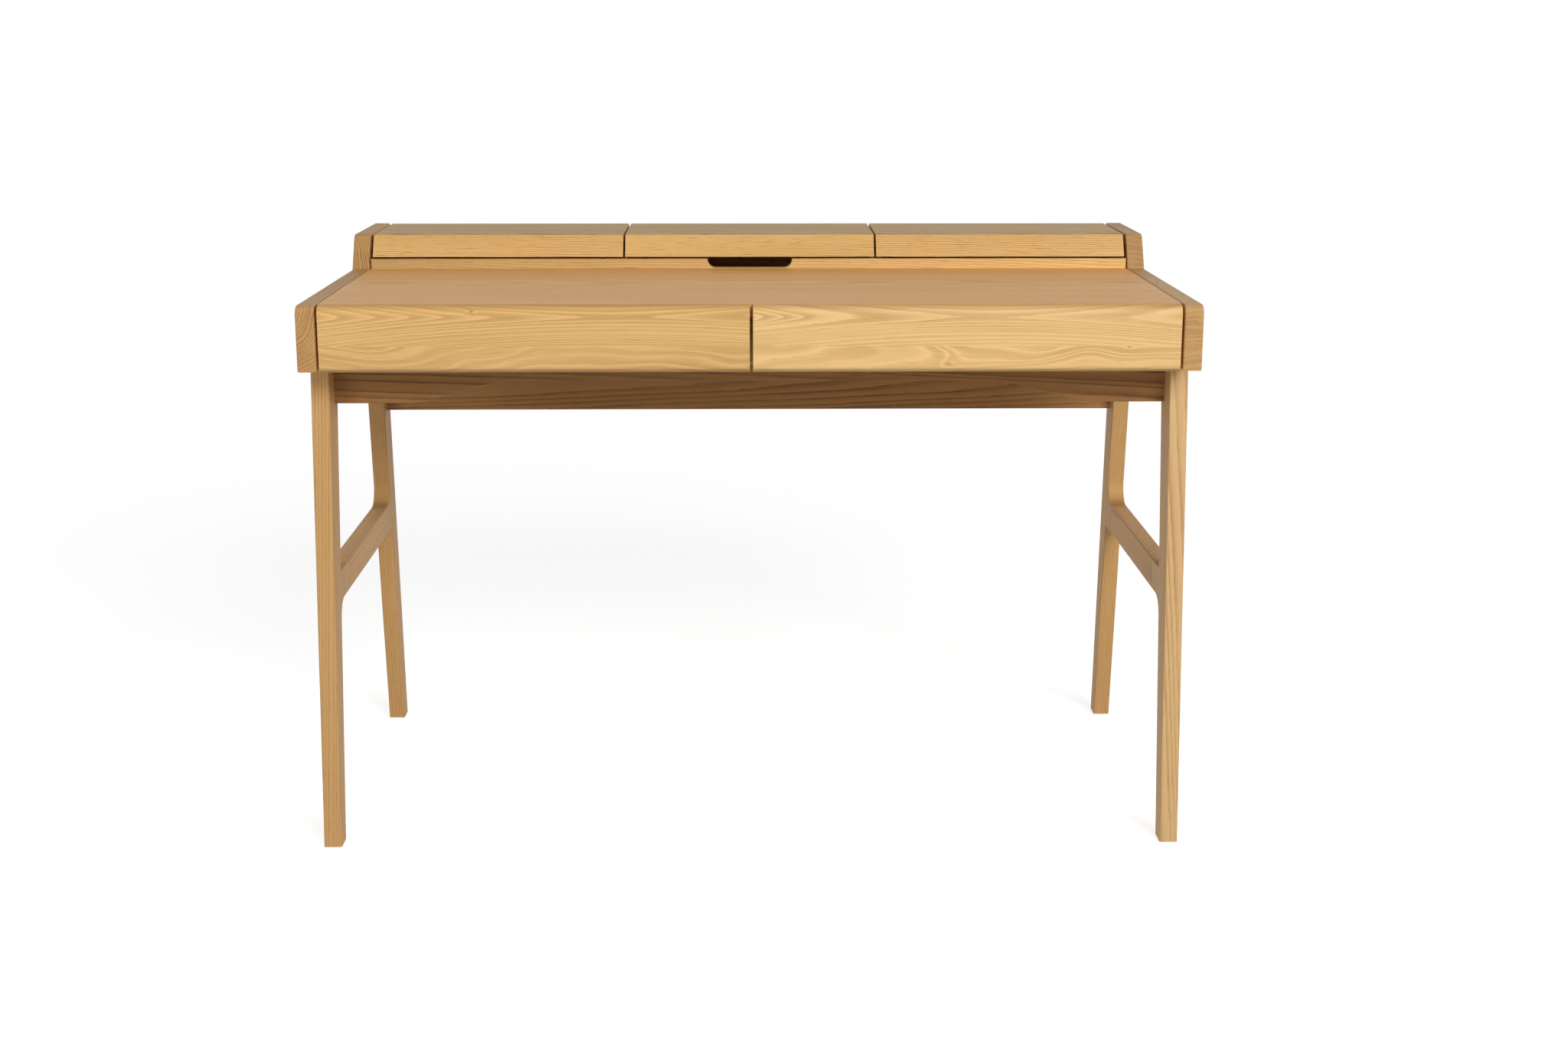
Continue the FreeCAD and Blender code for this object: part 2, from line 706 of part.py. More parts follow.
# Stretchers: straight bars between the stubs of the legs
stretcher_outline = [
    (stub_end, stretcher_low),
    (-stub_end, stretcher_low),
    (-stub_end, stretcher_high),
    (stub_end, stretcher_high),
]
for side_name, side in sides.items():
    stretcher = outline_body(f"{side_name}_stretcher", "YZ_Plane", stretcher_outline, s.leg_thick)
    placed(stretcher, span(side, leg_inner, half)[0], zero, zero)
    long_edges = []
    for across in (zero, s.leg_thick):
        for up in (stretcher_low, stretcher_high):
            long_edges += edges_on(stretcher, X=across, Z=up)
    rounded(stretcher, long_edges, s.leg_edge_radius)
    blanks[stretcher.Name] = stretcher

# Aprons: an arched one between the front legs and a deep straight one between the rear legs
front_apron_middle = leg_top_edge + s.leg_top_depth * front_apron_share
front_apron_face = front_apron_middle - s.front_apron_thick / 2
front_apron_low = underside - s.front_apron_height
arch_foot = leg_inner - s.arch_margin
arch_half = arch_foot - s.arch_run
arch_high = front_apron_low + s.arch_rise
front_apron = outline_body(
    "front_apron",
    "XZ_Plane",
    [
        (-leg_inner, underside),
        (leg_inner, underside),
        (leg_inner, front_apron_low),
        (arch_foot, front_apron_low),
        (arch_half, arch_high),
        (-arch_half, arch_high),
        (-arch_foot, front_apron_low),
        (-leg_inner, front_apron_low),
    ],
    s.front_apron_thick,
)
placed(front_apron, zero, front_apron_face, zero)
arch_edges = []
for way in sides.values():
    arch_edges += edges_on(front_apron, X=arch_foot * way, Z=front_apron_low)
    arch_edges += edges_on(front_apron, X=arch_half * way, Z=arch_high)
rounded(front_apron, arch_edges, s.arch_radius)
outline_edges = edges_on(front_apron, Y=zero) + edges_on(front_apron, Y=s.front_apron_thick)
joint_edges = edges_on(front_apron, Z=underside)
for end_of_apron in (-leg_inner, leg_inner):
    joint_edges += edges_on(front_apron, X=end_of_apron)
rounded(front_apron, [edge for edge in outline_edges if edge not in joint_edges], s.apron_edge_radius)
blanks["front_apron"] = front_apron

rear_apron_rear = -leg_top_edge
rear_apron_depth = (rear_apron_rear - s.rear_apron_thick, rear_apron_rear)
rear_apron_low = underside - s.rear_apron_height
rear_apron = outline_body(
    "rear_apron",
    "XZ_Plane",
    [
        (-leg_inner, rear_apron_low),
        (leg_inner, rear_apron_low),
        (leg_inner, underside),
        (-leg_inner, underside),
    ],
    s.rear_apron_thick,
)
placed(rear_apron, zero, rear_apron_depth[0], zero)
low_edges = []
for through in (zero, s.rear_apron_thick):
    low_edges += edges_on(rear_apron, Y=through, Z=rear_apron_low)
rounded(rear_apron, low_edges, s.apron_edge_radius)
blanks["rear_apron"] = rear_apron

# Dowels of the carcass and of the aprons, on both sides of the desk
rear_apron_middle = (rear_apron_depth[0] + rear_apron_depth[1]) / 2
desktop_middle = (desk_under + surface) / 2
gallery_board_middle = (gallery_face + gallery_inside) / 2
back_middle = (back_inside + back_rear) / 2
for side_name, side in sides.items():
    joint_x = inner * side
    panel_label = f"{side_name}_side_panel"
    for share in desktop_dowel_shares:
        dowel_y = desktop_depth[0] + (desktop_depth[1] - desktop_depth[0]) * share
        dowel("carcass_dowels", (joint_x, dowel_y, desktop_middle), "+x", s.dowel_half_length,
              ["desktop", panel_label])
    for share in upright_dowel_shares:
        dowel_z = underside + s.carcass_height * share
        dowel("carcass_dowels", (joint_x, gallery_board_middle, dowel_z), "+x", s.dowel_half_length,
              ["gallery_front_board", panel_label])
        dowel("carcass_dowels", (joint_x, back_middle, dowel_z), "+x", s.dowel_half_length,
              ["back_panel", panel_label])
    leg_joint_x = leg_inner * side
    for share in apron_dowel_shares:
        front_z = front_apron_low + s.front_apron_height * share
        rear_z = rear_apron_low + s.rear_apron_height * share
        dowel("apron_dowels", (leg_joint_x, front_apron_middle, front_z), "+x", s.dowel_half_length,
              ["front_apron", f"{side_name}_front_leg"])
        dowel("apron_dowels", (leg_joint_x, rear_apron_middle, rear_z), "+x", s.dowel_half_length,
              ["rear_apron", f"{side_name}_rear_leg"])

# Every node: the boards less their holes, and the groups of like pieces
nodes = {}
for label, blank in blanks.items():
    if label in holes:
        blank.Label = f"{label}_blank"
        nodes[label] = cut(f"{label}_bored", blank, grouped(f"{label}_holes", holes[label]))
    else:
        nodes[label] = blank
for label, pieces in groups.items():
    nodes[label] = grouped(label, pieces)
for label, node in nodes.items():
    node.Label = label
doc.recompute()

faults = [thing.Name for thing in doc.Objects if {"Invalid", "Error"} & set(thing.State)]
for label, node in nodes.items():
    if node.Label != label or node.Shape.isNull() or not node.Shape.isValid() or not node.Shape.Solids:
        faults.append(label)
if faults:
    raise RuntimeError("not built: " + ", ".join(faults))

os.makedirs("parts", exist_ok=True)
for label, node in nodes.items():
    node.Shape.exportStep(f"parts/{label}.step")
print(len(nodes), "nodes written")
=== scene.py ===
import math

import bmesh
import bpy
from mathutils import Matrix, Vector
from mathutils.geometry import tessellate_polygon


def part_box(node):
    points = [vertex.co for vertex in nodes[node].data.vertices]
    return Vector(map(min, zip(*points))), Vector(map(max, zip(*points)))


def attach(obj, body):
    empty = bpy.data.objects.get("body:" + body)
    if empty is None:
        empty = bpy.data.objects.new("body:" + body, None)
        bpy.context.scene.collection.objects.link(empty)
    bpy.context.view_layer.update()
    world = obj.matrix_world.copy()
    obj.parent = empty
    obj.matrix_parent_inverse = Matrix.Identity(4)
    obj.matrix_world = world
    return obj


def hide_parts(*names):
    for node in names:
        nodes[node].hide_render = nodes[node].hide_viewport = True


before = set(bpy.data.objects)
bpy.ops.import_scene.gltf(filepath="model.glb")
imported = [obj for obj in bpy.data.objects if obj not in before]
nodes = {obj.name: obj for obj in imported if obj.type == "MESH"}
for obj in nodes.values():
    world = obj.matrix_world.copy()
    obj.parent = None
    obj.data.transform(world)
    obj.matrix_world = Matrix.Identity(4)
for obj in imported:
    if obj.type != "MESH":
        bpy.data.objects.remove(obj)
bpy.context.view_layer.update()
scene = bpy.context.scene
scene.view_settings.view_transform = "Standard"
print("frame loaded:", len(nodes), "nodes")


# a value is either a socket to link or a plain setting
def plug(tree, value, socket):
    if isinstance(value, bpy.types.NodeSocket):
        tree.links.new(value, socket)
    else:
        socket.default_value = value


def addNode(tree, kind, inputs=None, **settings):
    made = tree.nodes.new(kind)
    for name, value in settings.items():
        setattr(made, name, value)
    for key, value in (inputs or {}).items():
        plug(tree, value, made.inputs[key])
    return made


def calc(tree, operation, *terms):
    return addNode(tree, "ShaderNodeMath", dict(enumerate(terms)), operation=operation).outputs[0]


def vecCalc(tree, operation, *terms):
    made = addNode(tree, "ShaderNodeVectorMath", dict(enumerate(terms)), operation=operation)
    return made.outputs["Value" if operation in ("LENGTH", "DOT_PRODUCT") else "Vector"]


def scaled(tree, value, gain, base):
    return calc(tree, "MULTIPLY_ADD", value, gain, base)


def product(tree, first, *others):
    made = first
    for term in others:
        made = calc(tree, "MULTIPLY", made, term)
    return made


def remap(tree, value, fromRange, toRange=(0.0, 1.0)):
    terms = dict(enumerate((value, *fromRange, *toRange)))
    return addNode(tree, "ShaderNodeMapRange", terms, interpolation_type="SMOOTHSTEP").outputs[0]


def noise(tree, vector, detail=2.0, roughness=0.5, output="Fac", scale=1.0):
    made = addNode(tree, "ShaderNodeTexNoise", {
        "Vector": vector, "Scale": scale, "Detail": detail, "Roughness": roughness})
    return made.outputs[output]


def splitAxes(tree, vector):
    return addNode(tree, "ShaderNodeSeparateXYZ", {0: vector}).outputs


def joinAxes(tree, *terms):
    return addNode(tree, "ShaderNodeCombineXYZ", dict(enumerate(terms))).outputs[0]


def mixValue(tree, factor, a, b):
    return addNode(tree, "ShaderNodeMix", {0: factor, 2: a, 3: b}).outputs[0]


def mixColour(tree, factor, a, b, blend="MIX"):
    made = addNode(tree, "ShaderNodeMix", {0: factor, 6: a, 7: b}, data_type="RGBA", blend_type=blend)
    return made.outputs[2]


def tinted(tree, colour, tint):
    return mixColour(tree, 1.0, colour, tint, "MULTIPLY")


def shaded(tree, colour, shade):
    grey = addNode(tree, "ShaderNodeCombineColor", {0: shade, 1: shade, 2: shade}).outputs[0]
    return tinted(tree, colour, grey)


screenCurve = {"toe": 0.04045, "slope": 12.92, "offset": 0.055, "power": 2.4}


# a screen colour from 0 to 255, as the shader's own linear colour
def srgb(*levels):
    def linear(level):
        share, offset = level / 255, screenCurve["offset"]
        if share <= screenCurve["toe"]:
            return share / screenCurve["slope"]
        return ((share + offset) / (1 + offset)) ** screenCurve["power"]
    return (*map(linear, levels), 1.0)


def newGroup(name, inputs, outputs):
    group = bpy.data.node_groups.new(name, "ShaderNodeTree")
    for label, kind, value in inputs:
        socket = group.interface.new_socket(label, in_out="INPUT", socket_type="NodeSocket" + kind)
        if value is not None:
            socket.default_value = value
    for label, kind in outputs:
        group.interface.new_socket(label, in_out="OUTPUT", socket_type="NodeSocket" + kind)
    start = group.nodes.new("NodeGroupInput")
    end = group.nodes.new("NodeGroupOutput")
    return group, start.outputs, end.inputs


def fillGroup(tree, group, inputs):
    return addNode(tree, "ShaderNodeGroup", inputs, node_tree=group)


# ripple, fade, vessel, fibre, broad and blotch are noises, with their paces along and across the grain
ashLook = {
    "seedSteps": (3.17, 7.73, 1.31),
    "slowAcross": 8.0, "slowRough": 0.45,
    "yearPace": 70.0, "yearSwing": 1.8,
    "ripple": (7.0, 90.0), "rippleRough": 0.55, "rippleSwing": 0.35,
    "yearStart": 0.04, "yearStops": ((0.09, 0.85), (0.19, 0.95), (0.56, 0.25)),
    "fade": (2.2, 30.0), "fadeFrom": (0.3, 0.7), "fadeTo": (0.45, 1.0),
    "vessel": (42.0, 900.0), "vesselFrom": (0.54, 0.68),
    "earlyFrom": (0.05, 0.45), "earlyTo": (1.0, 0.25),
    "fibre": (14.0, 620.0), "fibreRough": 0.6, "fibreShade": (0.16, 0.92),
    "broad": (0.9, 11.0), "broadShade": (0.22, 0.89), "endShade": -0.20,
    "rough": 0.50, "lineRough": 0.05, "poreRough": 0.14, "endRough": 0.08,
    "blotch": (5.0, 9.0), "blotchRough": 0.08,
    "fibreHeight": 0.5, "poreHeight": -1.0, "lineHeight": -0.25, "relief": (0.35, 0.0002),
}


# growth rings of one stem, seen wherever a board cuts through them; X runs along the grain
def buildAshFigure():
    group, given, made = newGroup("ashFigure", [
        ("Vector", "Vector", None),
        ("Ring Width", "Float", 0.005),
        ("Taper", "Float", 0.02),
        ("Bow", "Float", 0.0),
        ("Wave", "Float", 1.5),
        ("Wander", "Float", 0.006),
        ("Line Depth", "Float", 0.6),
        ("Softness", "Float", 0.0),
        ("Pore Depth", "Float", 0.4),
        ("Swell", "Float", 0.0),
        ("End Grain", "Float", 0.0),
        ("Drift", "Float", 0.0),
        ("Seed", "Float", 0.0),
        ("Light", "Color", srgb(230, 190, 128)),
        ("Line", "Color", srgb(200, 154, 92)),
        ("Pore", "Color", srgb(150, 104, 56)),
    ], [("Color", "Color"), ("Roughness", "Float"), ("Height", "Float")])
    look = ashLook
    seed = joinAxes(group, *[calc(group, "MULTIPLY", given["Seed"], step) for step in look["seedSteps"]])

    def stretched(along, across):
        paced = vecCalc(group, "MULTIPLY", given["Vector"], (along, across, across))
        return vecCalc(group, "ADD", paced, seed)

    place = splitAxes(group, given["Vector"])
    pace = joinAxes(group, given["Wave"], look["slowAcross"], look["slowAcross"])
    slowly = vecCalc(group, "ADD", vecCalc(group, "MULTIPLY", given["Vector"], pace), seed)
    drawn = noise(group, slowly, 2.0, look["slowRough"], "Color")
    slow = addNode(group, "ShaderNodeSeparateColor", {0: drawn}).outputs
    wander = calc(group, "MULTIPLY", given["Wander"], 2.0)
    y = scaled(group, calc(group, "SUBTRACT", slow[0], 0.5), wander, place[1])
    z = scaled(group, calc(group, "SUBTRACT", slow[1], 0.5), wander, place[2])
    radius = calc(group, "SQRT", calc(group, "ADD", product(group, y, y), product(group, z, z)))
    radius = scaled(group, place[0], given["Taper"], radius)
    bowed = calc(group, "MULTIPLY", given["Bow"], -1.0)
    radius = scaled(group, product(group, place[0], place[0]), bowed, radius)
    radius = calc(group, "ADD", radius, given["Swell"])
    # good and bad years: the rings are not evenly wide
    years = addNode(group, "ShaderNodeTexNoise", {
        "W": scaled(group, radius, look["yearPace"], given["Seed"]), "Scale": 1.0, "Detail": 1.0,
    }, noise_dimensions="1D").outputs["Fac"]
    ripple = noise(group, stretched(*look["ripple"]), 2.0, look["rippleRough"])
    rings = calc(group, "DIVIDE", radius, given["Ring Width"])
    rings = scaled(group, years, look["yearSwing"], rings)
    rings = scaled(group, ripple, look["rippleSwing"], rings)
    year = calc(group, "FRACT", rings)
    ramp = addNode(group, "ShaderNodeValToRGB", {0: year})
    stops = ramp.color_ramp.elements
    for position, level in look["yearStops"]:
        stops.new(position).color = (level, level, level, 1)
    stops[0].color = (*[look["yearStart"]] * 3, 1)
    stops[-1].color = (0, 0, 0, 1)
    fade = remap(group, noise(group, stretched(*look["fade"])), look["fadeFrom"], look["fadeTo"])
    # a softly waving figure in place of sharp lines
    gentle = scaled(group, calc(group, "COSINE", calc(group, "MULTIPLY", rings, 2 * math.pi)), -0.5, 0.5)
    profile = mixValue(group, given["Softness"], ramp.outputs[0], gentle)
    line = product(group, profile, fade, given["Line Depth"])
    # vessels: short dark dashes along the grain, thickest in the early wood
    dash = remap(group, noise(group, stretched(*look["vessel"]), 1.0), look["vesselFrom"])
    early = remap(group, year, look["earlyFrom"], look["earlyTo"])
    pore = product(group, dash, early, given["Pore Depth"])
    fibre = noise(group, stretched(*look["fibre"]), 3.0, look["fibreRough"])
    broad = noise(group, stretched(*look["broad"]))
    colour = mixColour(group, line, given["Light"], given["Line"])
    colour = mixColour(group, pore, colour, given["Pore"])
    shade = product(group,
                    scaled(group, fibre, *look["fibreShade"]),
                    scaled(group, broad, *look["broadShade"]),
                    scaled(group, given["End Grain"], look["endShade"], 1.0),
                    scaled(group, place[0], given["Drift"], 1.0))
    plug(group, shaded(group, colour, shade), made["Color"])
    rough = scaled(group, line, look["lineRough"], look["rough"])
    rough = scaled(group, pore, look["poreRough"], rough)
    rough = scaled(group, noise(group, stretched(*look["blotch"]), 3.0), look["blotchRough"], rough)
    plug(group, scaled(group, given["End Grain"], look["endRough"], rough), made["Roughness"])
    height = calc(group, "MULTIPLY", fibre, look["fibreHeight"])
    height = scaled(group, pore, look["poreHeight"], height)
    plug(group, scaled(group, line, look["lineHeight"], height), made["Height"])
    return group


knotLook = {
    "stretch": (0.55, 1.0, 1.0), "fall": -0.16, "swell": 1.3, "heartEdge": 1.5, "tone": (140, 94, 52),
}


# a small knot: the rings swell round it and its heart is dark
def buildPinKnot():
    group, given, made = newGroup("pinKnot", [
        ("Vector", "Vector", None),
        ("Centre", "Vector", None),
        ("Size", "Float", 0.004),
        ("Heart", "Float", 0.85),
        ("Swell In", "Float", 0.0),
        ("Dark In", "Float", 0.0),
    ], [("Swell", "Float"), ("Dark", "Float")])
    away = vecCalc(group, "SUBTRACT", given["Vector"], given["Centre"])
    away = vecCalc(group, "MULTIPLY", away, knotLook["stretch"])
    far = calc(group, "DIVIDE", vecCalc(group, "LENGTH", away), given["Size"])
    near = calc(group, "EXPONENT", product(group, far, far, knotLook["fall"]))
    swell = calc(group, "MULTIPLY", near, calc(group, "MULTIPLY", given["Size"], knotLook["swell"]))
    plug(group, calc(group, "ADD", swell, given["Swell In"]), made["Swell"])
    heart = remap(group, far, (0.0, knotLook["heartEdge"]), (given["Heart"], 0.0))
    plug(group, calc(group, "MAXIMUM", heart, given["Dark In"]), made["Dark"])
    return group


plyLook = {"face": (226, 200, 158), "core": (190, 152, 104), "coreEdge": (0.22, 0.28)}


# thin peeled layers through a plywood board's thickness
def buildPlyLayers():
    group, given, made = newGroup("plyLayers", [
        ("Depth", "Float", 0.0),
        ("Layer", "Float", 0.0015),
        ("Face", "Color", srgb(*plyLook["face"])),
        ("Core", "Color", srgb(*plyLook["core"])),
    ], [("Color", "Color")])
    pair = calc(group, "MULTIPLY", given["Layer"], 2.0)
    layer = calc(group, "FRACT", calc(group, "DIVIDE", given["Depth"], pair))
    off = calc(group, "ABSOLUTE", calc(group, "SUBTRACT", layer, 0.5))
    core = remap(group, off, plyLook["coreEdge"], (1.0, 0.0))
    plug(group, mixColour(group, core, given["Face"], given["Core"]), made["Color"])
    return group


platingLook = {
    "blotchScale": 160.0, "rubShade": (0.2, 0.88), "blotchShade": (0.12, 0.94), "rubRough": (0.22, 0.24),
    "relief": (0.2, 0.0001),
}


# fine rubbed lines and faint blotches of plated steel
def buildPlating():
    group, given, made = newGroup("plating", [
        ("Vector", "Vector", None),
        ("Tone", "Color", srgb(196, 197, 198)),
        ("Rub", "Vector", (20.0, 900.0, 900.0)),
    ], [("Color", "Color"), ("Roughness", "Float"), ("Height", "Float")])
    rub = noise(group, vecCalc(group, "MULTIPLY", given["Vector"], given["Rub"]))
    blotch = noise(group, given["Vector"], scale=platingLook["blotchScale"])
    shade = product(group,
                    scaled(group, rub, *platingLook["rubShade"]),
                    scaled(group, blotch, *platingLook["blotchShade"]))
    plug(group, shaded(group, given["Tone"], shade), made["Color"])
    plug(group, scaled(group, rub, *platingLook["rubRough"]), made["Roughness"])
    plug(group, rub, made["Height"])
    return group


ashFigure = buildAshFigure()
pinKnot = buildPinKnot()
plyLayers = buildPlyLayers()
plating = buildPlating()
print("shared effects built")


def newMaterial(name):
    material = bpy.data.materials.new(name)
    material.use_nodes = True
    tree = material.node_tree
    return material, tree, tree.nodes["Principled BSDF"], addNode(tree, "ShaderNodeTexCoord").outputs


# relief is the bump's strength and its distance
def setSurface(tree, shader, colour, rough, height, relief):
    strength, distance = relief
    bump = addNode(tree, "ShaderNodeBump", {"Strength": strength, "Distance": distance, "Height": height})
    plug(tree, colour, shader.inputs["Base Color"])
    plug(tree, rough, shader.inputs["Roughness"])
    plug(tree, bump.outputs[0], shader.inputs["Normal"])


def dress(material, *names):
    for name in names:
        nodes[name].data.materials.clear()
        nodes[name].data.materials.append(material)


grainAxes = {  # the way the grain runs, and the turns about Y and Z that lay it along X
    "x": {"way": (1.0, 0.0, 0.0), "turns": (0.0, 0.0)},
    "y": {"way": (0.0, 1.0, 0.0), "turns": (0.0, -math.pi / 2)},
    "z": {"way": (0.0, 0.0, 1.0), "turns": (math.pi / 2, 0.0)},
}
facing = {"endGrain": (0.72, 0.98), "fullyUp": 0.95, "down": (-0.15, -0.8)}  # shares of a unit normal
boardDefaults = {
    "lean": 0.0, "bow": 0.0, "wave": 1.5, "soft": 0.0, "drift": 0.0, "sheen": 0.3, "knots": (),
    "lower": None, "upShade": None, "upShadeFrom": 0.6, "downShade": (1.0, 1.0, 1.0),
}


# one board cut from one stem: pith is a point on the stem's heart, in the desk's own frame
def ashMaterial(name, board):
    material, tree, shader, place = newMaterial(name)
    axis = grainAxes[board["grain"]]
    turn = (board["lean"], *axis["turns"])
    turnX, turnY, turnZ = [Matrix.Rotation(angle, 3, about) for angle, about in zip(turn, "XYZ")]
    along = calc(tree, "ABSOLUTE", vecCalc(tree, "DOT_PRODUCT", place["Normal"], axis["way"]))
    endGrain = remap(tree, along, facing["endGrain"])

    def figure(strip):
        offset = -(turnZ @ turnY @ turnX @ Vector(strip["pith"]))
        stem = addNode(tree, "ShaderNodeMapping", {
            "Vector": place["Object"], "Location": offset, "Rotation": turn})
        swell, dark = 0.0, 0.0
        for spot, size, heart in strip["knots"]:
            knot = fillGroup(tree, pinKnot, {
                "Vector": place["Object"], "Centre": spot, "Size": size, "Heart": heart,
                "Swell In": swell, "Dark In": dark})
            swell, dark = knot.outputs
        made = fillGroup(tree, ashFigure, {
            "Vector": stem.outputs[0], "Ring Width": strip["ring"], "Taper": strip["taper"],
            "Bow": strip["bow"], "Wave": strip["wave"], "Wander": strip["wander"],
            "Line Depth": strip["depth"], "Softness": strip["soft"], "Drift": strip["drift"],
            "Pore Depth": strip["pores"], "Swell": swell, "End Grain": endGrain, "Seed": strip["seed"],
            "Light": srgb(*strip["light"]), "Line": srgb(*strip["line"]), "Pore": srgb(*strip["pore"])})
        colour = made.outputs["Color"]
        if strip["knots"]:
            colour = mixColour(tree, dark, colour, srgb(*knotLook["tone"]))
        return colour, made.outputs["Roughness"], made.outputs["Height"]

    colour, rough, height = figure(board)
    if board["lower"]:
        # a second strip glued on below the first
        below = calc(tree, "LESS_THAN", splitAxes(tree, place["Object"])[2], board["splitAt"])
        lowerColour, lowerRough, lowerHeight = figure({**board, **board["lower"]})
        colour = mixColour(tree, below, colour, lowerColour)
        rough = mixValue(tree, below, rough, lowerRough)
        height = mixValue(tree, below, height, lowerHeight)
    if board["upShade"]:
        # painted shade: faces that look up are tinted darker than the fronts, and faces that look down are
        # tinted darker too
        level = splitAxes(tree, place["Normal"])[2]
        upShaded = tinted(tree, colour, (*board["upShade"], 1.0))
        up = remap(tree, level, (board["upShadeFrom"], facing["fullyUp"]))
        colour = mixColour(tree, up, colour, upShaded)
        downShaded = tinted(tree, colour, (*board["downShade"], 1.0))
        colour = mixColour(tree, remap(tree, level, facing["down"]), colour, downShaded)
    setSurface(tree, shader, colour, rough, height, ashLook["relief"])
    shader.inputs["Specular IOR Level"].default_value = board["sheen"]
    return material


# each board has what its family shares, and then its own values
def dressBoards(shared, boards):
    for name, own in boards.items():
        board = {**boardDefaults, **shared, **own}
        dress(ashMaterial(name, board), *board["on"])


# each panel's tops get a painted shade, and its tone darkens along its length towards the rear: painted
# shade on the risers
sidePanels = {
    "grain": "y", "line": (138, 91, 47), "pore": (120, 77, 39), "taper": 0.010, "pores": 0.45,
    "upShade": (0.88, 0.91, 1.0), "upShadeFrom": 0.3,
}
dressBoards(sidePanels, {
    "ashPanelLeft": {
        "on": ["left_side_panel"], "pith": (-0.672, 0.0, 0.770), "seed": 2.0, "light": (226, 175, 109),
        "ring": 0.0036, "depth": 0.78, "soft": 0.2, "wander": 0.022, "drift": -0.22},
    "ashPanelRight": {
        "on": ["right_side_panel"], "pith": (0.60, 0.0, 0.40), "seed": 5.0, "light": (222, 174, 113),
        "ring": 0.0075, "depth": 0.45, "soft": 0.5, "wander": 0.032, "drift": -0.34},
})

# the fronts' upper and lower rounds get a painted shade
drawerFronts = {
    "grain": "x", "line": (194, 145, 78), "pore": (170, 122, 66), "upShadeFrom": 0.3,
    "downShade": (0.66, 0.61, 0.57), "ring": 0.0042, "taper": 0.0, "wander": 0.004, "pores": 0.3,
    "splitAt": 0.711,
}
lowerStrip = {
    "pith": (0.0, -0.275, 0.664), "ring": 0.010, "bow": 0.0, "wave": 3.2, "wander": 0.060,
    "depth": 0.9, "soft": 0.7,
}
dressBoards(drawerFronts, {
    "ashFrontLeft": {
        "on": ["left_drawer_front"], "pith": (-0.18, -0.319, 0.7505), "bow": 0.17, "seed": 11.0,
        "light": (236, 192, 124), "depth": 0.8, "soft": 0.25, "upShade": (0.96, 0.88, 0.80),
        "lower": {**lowerStrip, "seed": 6.0, "light": (232, 188, 122)},
        "knots": [((-0.3686, -0.3246, 0.7570), 0.0019, 0.6)]},
    "ashFrontRight": {
        "on": ["right_drawer_front"], "pith": (0.314, -0.319, 0.7505), "bow": 0.20, "seed": 14.0,
        "light": (246, 206, 142), "depth": 0.75, "soft": 0.2, "upShade": (0.92, 0.83, 0.70),
        "lower": {**lowerStrip, "seed": 29.0, "ring": 0.0085, "light": (246, 204, 138)},
        "knots": [((0.502, -0.325, 0.7095), 0.0018, 0.45), ((0.262, -0.325, 0.687), 0.0026, 0.4)]},
})

# the lids' tops get a painted shade, darker and greyer than their fronts
lids = {
    "grain": "x", "line": (190, 138, 73), "pore": (150, 100, 48), "upShade": (0.71, 0.735, 0.825),
    "ring": 0.0024, "taper": 0.015, "wander": 0.010, "depth": 0.8, "pores": 0.65,
}
dressBoards(lids, {
    "ashLeftLid": {
        "on": ["left_lid"], "pith": (-0.38, 0.15, 0.62), "seed": 31.0, "light": (249, 202, 130)},
    "ashMiddleLid": {
        "on": ["middle_lid"], "pith": (0.0, 0.15, 0.62), "seed": 37.0, "light": (243, 198, 125)},
    "ashRightLid": {
        "on": ["right_lid"], "pith": (0.38, 0.15, 0.62), "seed": 41.0, "light": (250, 204, 132)},
})

carcass = {
    "grain": "x", "light": (240, 179, 95), "line": (200, 138, 64), "pore": (166, 114, 60), "sheen": 1.0,
    "ring": 0.0045, "taper": 0.02, "wander": 0.012, "depth": 0.75, "pores": 0.45,
}
dressBoards(carcass, {
    "ashDesktop": {"on": ["desktop"], "pith": (0.0, -0.06, 0.66), "seed": 43.0},
    "ashGallery": {
        "on": ["gallery_front_board"], "pith": (0.0, 0.20, 0.70), "seed": 47.0, "ring": 0.0026,
        "depth": 0.8, "pores": 0.6, "light": (229, 190, 124), "line": (183, 136, 78), "drift": 0.34,
        "sheen": 0.3},
    "ashBack": {"on": ["back_panel"], "pith": (0.0, 0.40, 0.70), "seed": 53.0},
})

innerBoards = {
    "light": (210, 168, 112), "line": (180, 136, 82), "pore": (148, 104, 60),
    "ring": 0.005, "taper": 0.02, "wander": 0.010, "depth": 0.6, "pores": 0.4,
}
dressBoards(innerBoards, {
    "ashInside": {
        "on": ["drawer_bay_bottom", "gallery_floor"],
        "grain": "x", "pith": (0.0, -0.1, 0.60), "seed": 59.0},
    "ashDividers": {
        "on": ["centre_divider", "left_gallery_divider", "right_gallery_divider"],
        "grain": "y", "pith": (0.3, 0.0, 0.62), "seed": 61.0},
})

